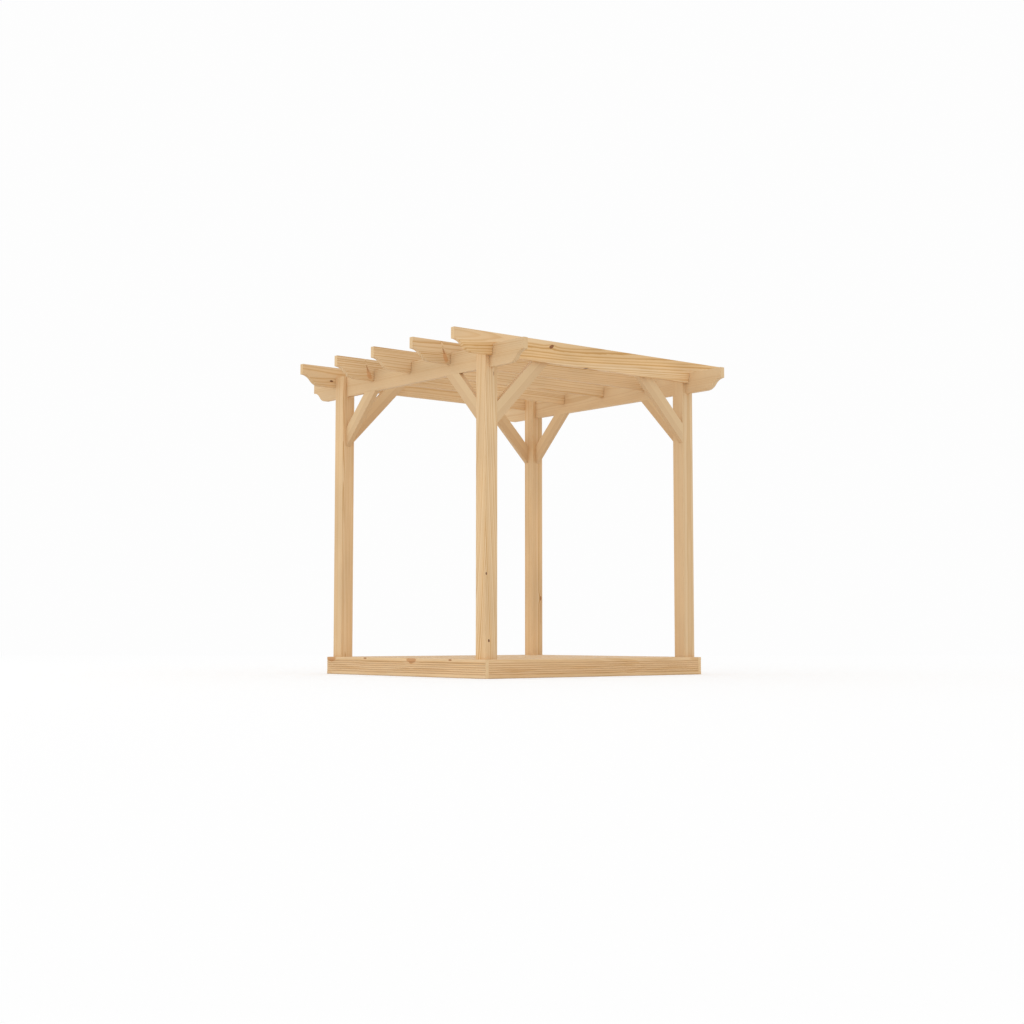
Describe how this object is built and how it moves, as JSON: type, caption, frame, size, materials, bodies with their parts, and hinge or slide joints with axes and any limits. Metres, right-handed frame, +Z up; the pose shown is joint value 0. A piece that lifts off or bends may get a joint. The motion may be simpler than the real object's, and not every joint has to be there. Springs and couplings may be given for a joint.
{
  "type": "garden pergola",
  "caption": "Open timber pergola on a grooved board deck: forked posts carry scroll-ended beams, notched rafters cross them, and knee braces stiffen every corner.",
  "frame": {"origin": "centre of the deck's footprint, on the ground", "axes": "+Z up, +X along the rafters, +Y along the beams"},
  "size_m": [2.42, 2.42, 2.1925],
  "materials": {
    "post_timber": "planed, clear oiled softwood",
    "roof_timber": "planed, clear oiled softwood",
    "brace_timber": "planed, clear oiled softwood",
    "decking": "grooved and planed softwood",
    "joist_timber": "sawn softwood"
  },
  "bodies": {
    "root": {"beam_back": "roof_timber", "beam_brace_far": "brace_timber", "beam_brace_left": "brace_timber", "beam_brace_near": "brace_timber", "beam_brace_right": "brace_timber", "beam_front": "roof_timber", "deck_board_01": "decking", "deck_board_02": "decking", "deck_board_03": "decking", "deck_board_04": "decking", "deck_board_05": "decking", "deck_board_06": "decking", "deck_board_07": "decking", "deck_board_08": "decking", "deck_board_09": "decking", "deck_board_10": "decking", "deck_board_11": "decking", "deck_board_12": "decking", "deck_board_13": "decking", "deck_board_14": "decking", "fascia_end_left": "decking", "fascia_end_right": "decking", "fascia_side_far": "decking", "fascia_side_near": "decking", "joist_1": "joist_timber", "joist_2": "joist_timber", "joist_3": "joist_timber", "joist_4": "joist_timber", "joist_5": "joist_timber", "post_far": "post_timber", "post_left": "post_timber", "post_near": "post_timber", "post_right": "post_timber", "rafter_1": "roof_timber", "rafter_2": "roof_timber", "rafter_3": "roof_timber", "rafter_4": "roof_timber", "rafter_5": "roof_timber", "rafter_brace_far": "brace_timber", "rafter_brace_left": "brace_timber", "rafter_brace_near": "brace_timber", "rafter_brace_right": "brace_timber"}
  },
  "joints": []
}
